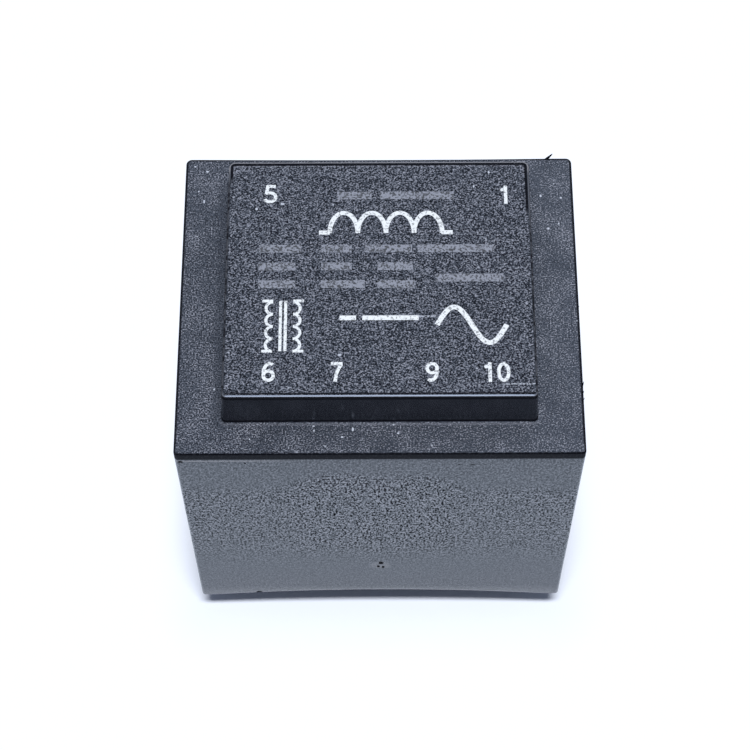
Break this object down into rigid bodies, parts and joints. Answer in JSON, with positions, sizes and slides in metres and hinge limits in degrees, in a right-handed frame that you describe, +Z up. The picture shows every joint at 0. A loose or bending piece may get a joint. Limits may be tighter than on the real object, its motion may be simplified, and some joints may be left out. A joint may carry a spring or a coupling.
{
  "type": "pcb transformer",
  "caption": "Resin-potted mains transformer in a black moulded case with a raised top, for soldering to a circuit board on two rows of round pins.",
  "frame": {"origin": "middle of the pin pattern on the seating plane, the board surface that the case rests on", "axes": "+Z up, away from the board; X along the rows of pins; the row of pins 6 to 10 at -Y, which is the front, and the row of pins 1 to 5 at +Y"},
  "size_m": [0.0324, 0.0274, 0.0384],
  "materials": {
    "case_plastic": "spark-eroded moulded black plastic, smooth at the edges",
    "resin": "cast black resin, slightly glossy",
    "core_steel": "silicon steel sheet with a dull varnish",
    "bobbin_plastic": "natural glass-filled nylon",
    "enamelled_copper": "copper wire under clear enamel",
    "tape": "yellow polyester tape",
    "tinned_pin": "tinned wire, satin",
    "solder": "soft solder"
  },
  "bodies": {
    "root": {"case": "case_plastic", "potting_compound": "resin", "e_laminations": "core_steel", "i_laminations": "core_steel", "bobbin": "bobbin_plastic", "primary_winding": "enamelled_copper", "primary_tape": "tape", "secondary_winding_a": "enamelled_copper", "interlayer_tape": "tape", "secondary_winding_b": "enamelled_copper", "secondary_tape": "tape", "pin_1": "tinned_pin", "pin_5": "tinned_pin", "pin_6": "tinned_pin", "pin_7": "tinned_pin", "pin_9": "tinned_pin", "pin_10": "tinned_pin", "solder_1": "solder", "solder_5": "solder", "solder_6": "solder", "solder_7": "solder", "solder_9": "solder", "solder_10": "solder"}
  },
  "joints": []
}
